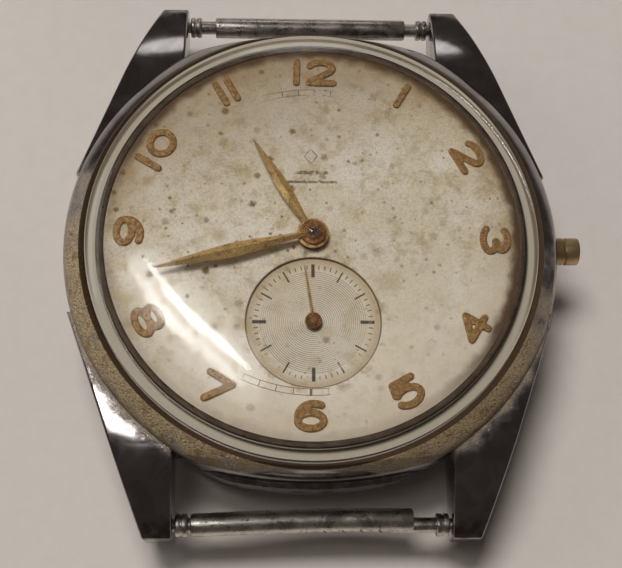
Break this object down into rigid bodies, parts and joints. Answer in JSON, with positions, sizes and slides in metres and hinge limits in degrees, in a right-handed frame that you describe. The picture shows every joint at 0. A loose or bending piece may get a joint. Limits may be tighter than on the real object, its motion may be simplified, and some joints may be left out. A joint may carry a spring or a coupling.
{
  "type": "wristwatch head",
  "caption": "Round steel wristwatch head with lugs and spring bars, domed crystal, raised numerals, small seconds subdial and a full automatic mechanical movement.",
  "frame": {"origin": "on the dial's axis at the flat underside of the case back", "axes": "+Z out of the dial, +Y to 12 o'clock, +X to 3 o'clock along the winding stem"},
  "size_m": [0.0351, 0.0388, 0.0099],
  "materials": {
    "case_steel": "worn, pitted on the bezel slope",
    "polished_steel": "polished, worn",
    "crystal": "clear acrylic",
    "gasket": "matt",
    "tube_metal": "nickel worn to brass",
    "dial_paint": "aged silvering with stains",
    "gilt": "rose gilt, worn",
    "movement_nickel": "copper-gilt, fine grained",
    "wheel_brass": "gilt",
    "blued_steel": "blued",
    "ruby": "polished ruby"
  },
  "bodies": {
    "case": {"case_middle": "case_steel", "crystal": "crystal", "crystal_tension_ring": "polished_steel", "case_back": "case_steel", "back_gasket": "gasket", "pendant_tube": "tube_metal", "movement_clamps": "polished_steel", "clamp_screws": "polished_steel", "dial": "dial_paint", "hour_numerals": "gilt", "main_plate": "movement_nickel", "barrel_bridge": "movement_nickel", "train_bridge": "movement_nickel", "pallet_bridge": "movement_nickel", "balance_cock": "movement_nickel", "bridge_screws": "polished_steel", "yoke_spring": "polished_steel", "click_spring": "polished_steel", "automatic_bridge": "movement_nickel", "weight_axle": "polished_steel", "buffer_springs": "polished_steel", "buffer_posts": "polished_steel", "train_jewels": "ruby", "hairspring": "blued_steel", "bar_spring_12": "polished_steel", "bar_spring_6": "polished_steel"},
    "minute": {"minute_hand": "gilt", "cannon_pinion": "polished_steel", "center_wheel": "wheel_brass"},
    "hour": {"hour_hand": "gilt", "hour_wheel": "wheel_brass"},
    "minute_wheel": {"minute_wheel": "polished_steel"},
    "third": {"third_wheel": "wheel_brass"},
    "seconds": {"seconds_hand": "gilt", "fourth_wheel": "wheel_brass"},
    "escape": {"escape_wheel": "polished_steel"},
    "barrel": {"barrel_drum": "wheel_brass", "barrel_cover": "wheel_brass", "mainspring": "polished_steel"},
    "winding_pinion": {"winding_pinion": "polished_steel"},
    "stem": {"winding_stem": "polished_steel"},
    "sliding_pinion": {"sliding_pinion": "polished_steel"},
    "setting_lever": {"setting_lever": "polished_steel"},
    "yoke": {"yoke": "polished_steel"},
    "setting_wheel": {"setting_wheel": "polished_steel"},
    "ratchet": {"ratchet_wheel": "polished_steel", "barrel_arbor": "polished_steel"},
    "crown_wheel": {"crown_wheel": "polished_steel"},
    "auto_wheel": {"auto_winding_wheel": "polished_steel"},
    "click": {"click": "polished_steel"},
    "pallet_fork": {"pallet_fork": "polished_steel"},
    "balance": {"balance_wheel": "wheel_brass"},
    "regulator": {"regulator": "polished_steel"},
    "weight": {"oscillating_weight": "movement_nickel"},
    "bar_tube_12": {"bar_tube_12": "polished_steel"},
    "bar_tip_12_left": {"bar_tip_12_left": "polished_steel"},
    "bar_tip_12_right": {"bar_tip_12_right": "polished_steel"},
    "bar_tube_6": {"bar_tube_6": "polished_steel"},
    "bar_tip_6_left": {"bar_tip_6_left": "polished_steel"},
    "bar_tip_6_right": {"bar_tip_6_right": "polished_steel"}
  },
  "joints": [
    {"name": "minute_turn", "type": "hinge", "parent": "case", "child": "minute", "pos_m": [0, 0, 0], "axis": [0, 0, 1], "continuous": true},
    {"name": "hour_turn", "type": "hinge", "parent": "case", "child": "hour", "pos_m": [0, 0, 0], "axis": [0, 0, 1], "continuous": true},
    {"name": "minute_wheel_turn", "type": "hinge", "parent": "case", "child": "minute_wheel", "pos_m": [0.00262, -0.00032, 0], "axis": [0, 0, 1], "continuous": true},
    {"name": "setting_wheel_turn", "type": "hinge", "parent": "case", "child": "setting_wheel", "pos_m": [0.0064, 0, 0], "axis": [0, 0, 1], "continuous": true},
    {"name": "third_turn", "type": "hinge", "parent": "case", "child": "third", "pos_m": [0.00272, -0.00336, 0], "axis": [0, 0, 1], "continuous": true},
    {"name": "seconds_turn", "type": "hinge", "parent": "case", "child": "seconds", "pos_m": [0, -0.00593, 0], "axis": [0, 0, 1], "continuous": true},
    {"name": "escape_turn", "type": "hinge", "parent": "case", "child": "escape", "pos_m": [-0.00322, -0.00535, 0], "axis": [0, 0, 1], "continuous": true},
    {"name": "barrel_turn", "type": "hinge", "parent": "case", "child": "barrel", "pos_m": [0.00304, 0.00526, 0], "axis": [0, 0, 1], "continuous": true},
    {"name": "winding_turn", "type": "hinge", "parent": "case", "child": "winding_pinion", "pos_m": [0, 0, 0.005], "axis": [1, 0, 0], "continuous": true},
    {"name": "stem_pull", "type": "slide", "parent": "winding_pinion", "child": "stem", "axis": [1, 0, 0], "range_m": [0, 0.0008]},
    {"name": "sliding_pinion_shift", "type": "slide", "parent": "winding_pinion", "child": "sliding_pinion", "axis": [1, 0, 0], "range_m": [-0.0006, 0]},
    {"name": "setting_lever_turn", "type": "hinge", "parent": "case", "child": "setting_lever", "pos_m": [0.0131, -0.00214, 0], "axis": [0, 0, 1], "range_deg": [-30, 0]},
    {"name": "yoke_turn", "type": "hinge", "parent": "case", "child": "yoke", "pos_m": [0.00948, -0.00412, 0], "axis": [0, 0, 1], "range_deg": [0, 12]},
    {"name": "crown_wheel_turn", "type": "hinge", "parent": "case", "child": "crown_wheel", "pos_m": [0.00849, 0, 0], "axis": [0, 0, 1], "continuous": true},
    {"name": "ratchet_turn", "type": "hinge", "parent": "case", "child": "ratchet", "pos_m": [0.00304, 0.00526, 0], "axis": [0, 0, 1], "continuous": true},
    {"name": "auto_wheel_turn", "type": "hinge", "parent": "case", "child": "auto_wheel", "pos_m": [-0.00301, 0.00364, 0], "axis": [0, 0, 1], "continuous": true},
    {"name": "click_turn", "type": "hinge", "parent": "case", "child": "click", "pos_m": [-0.00273, 0.00795, 0], "axis": [0, 0, 1], "range_deg": [0, 8]},
    {"name": "pallet_turn", "type": "hinge", "parent": "case", "child": "pallet_fork", "pos_m": [-0.00593, -0.00464, 0], "axis": [0, 0, 1], "range_deg": [-4, 4]},
    {"name": "balance_turn", "type": "hinge", "parent": "case", "child": "balance", "pos_m": [-0.0081, -0.00328, 0], "axis": [0, 0, 1], "range_deg": [-270, 270]},
    {"name": "regulator_turn", "type": "hinge", "parent": "case", "child": "regulator", "pos_m": [-0.0081, -0.00328, 0], "axis": [0, 0, 1], "range_deg": [-15, 15]},
    {"name": "weight_swing", "type": "hinge", "parent": "case", "child": "weight", "pos_m": [0, 0, 0], "axis": [0, 0, 1], "range_deg": [-60, 60]},
    {"name": "bar_12_spin", "type": "hinge", "parent": "case", "child": "bar_tube_12", "pos_m": [0, 0.01845, 0.0034], "axis": [1, 0, 0], "continuous": true},
    {"name": "bar_12_left_press", "type": "slide", "parent": "case", "child": "bar_tip_12_left", "axis": [1, 0, 0], "range_m": [0, 0.0008], "stiffness_N_per_m": 200, "deforming": ["bar_spring_12"]},
    {"name": "bar_12_right_press", "type": "slide", "parent": "case", "child": "bar_tip_12_right", "axis": [1, 0, 0], "range_m": [-0.00075, 0], "stiffness_N_per_m": 200, "deforming": ["bar_spring_12"]},
    {"name": "bar_6_spin", "type": "hinge", "parent": "case", "child": "bar_tube_6", "pos_m": [0, -0.01845, 0.0034], "axis": [1, 0, 0], "continuous": true},
    {"name": "bar_6_left_press", "type": "slide", "parent": "case", "child": "bar_tip_6_left", "axis": [1, 0, 0], "range_m": [0, 0.0001], "stiffness_N_per_m": 200, "deforming": ["bar_spring_6"]},
    {"name": "bar_6_right_press", "type": "slide", "parent": "case", "child": "bar_tip_6_right", "axis": [1, 0, 0], "range_m": [-0.0008, 0], "stiffness_N_per_m": 200, "deforming": ["bar_spring_6"]}
  ],
  "couplings": [
    {"joint": "hour_turn", "follows": "minute_turn", "ratio": 0.083333},
    {"joint": "minute_wheel_turn", "follows": "minute_turn", "ratio": -0.33333},
    {"joint": "setting_wheel_turn", "follows": "minute_turn", "ratio": 0.36364},
    {"joint": "third_turn", "follows": "minute_turn", "ratio": -8},
    {"joint": "seconds_turn", "follows": "minute_turn", "ratio": 60},
    {"joint": "escape_turn", "follows": "minute_turn", "ratio": -600},
    {"joint": "barrel_turn", "follows": "minute_turn", "ratio": -0.15385},
    {"joint": "crown_wheel_turn", "follows": "winding_turn", "ratio": 0.55172},
    {"joint": "ratchet_turn", "follows": "winding_turn", "ratio": -0.30769},
    {"joint": "auto_wheel_turn", "follows": "winding_turn", "ratio": 1.0667},
    {"joint": "sliding_pinion_shift", "follows": "stem_pull", "ratio": -0.75},
    {"joint": "setting_lever_turn", "follows": "stem_pull", "rad_per_m": -643.59},
    {"joint": "yoke_turn", "follows": "stem_pull", "rad_per_m": 248.71}
  ]
}
